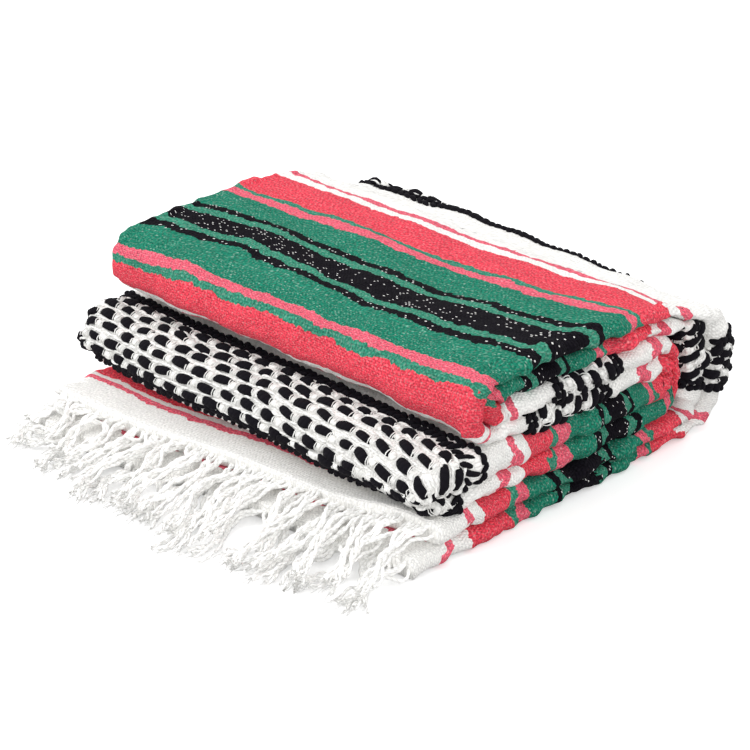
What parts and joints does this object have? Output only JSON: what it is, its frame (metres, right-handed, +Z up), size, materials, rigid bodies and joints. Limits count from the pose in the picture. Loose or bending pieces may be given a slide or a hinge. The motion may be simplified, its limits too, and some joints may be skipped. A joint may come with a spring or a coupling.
{
  "type": "folded mexican blanket",
  "caption": "Striped woven cotton blanket folded and rolled into a soft bundle, with a fold of black and white bands at the front and a loose white fringe.",
  "frame": {"origin": "on the floor, below the middle of the bundle's outline with its fringe", "axes": "+X along the stripes to the end with the round folds, -Y towards the front with its folds and fringe, +Z up"},
  "size_m": [0.3279, 0.3967, 0.1228],
  "materials": {
    "cloth": "matte woven cotton and acrylic yarn in pink, green, black and white stripes",
    "cloth_black_white": "matte woven yarn, black floats on a white ground",
    "fringe": "matte white twisted cotton yarn"
  },
  "bodies": {
    "root": {"bottom_stretch": "cloth", "back_turn": "cloth", "top_stretch_and_front_fold": "cloth", "inner_stretch": "cloth", "middle_fold": "cloth_black_white", "lower_fringe": "fringe", "upper_fringe": "fringe"}
  },
  "joints": []
}
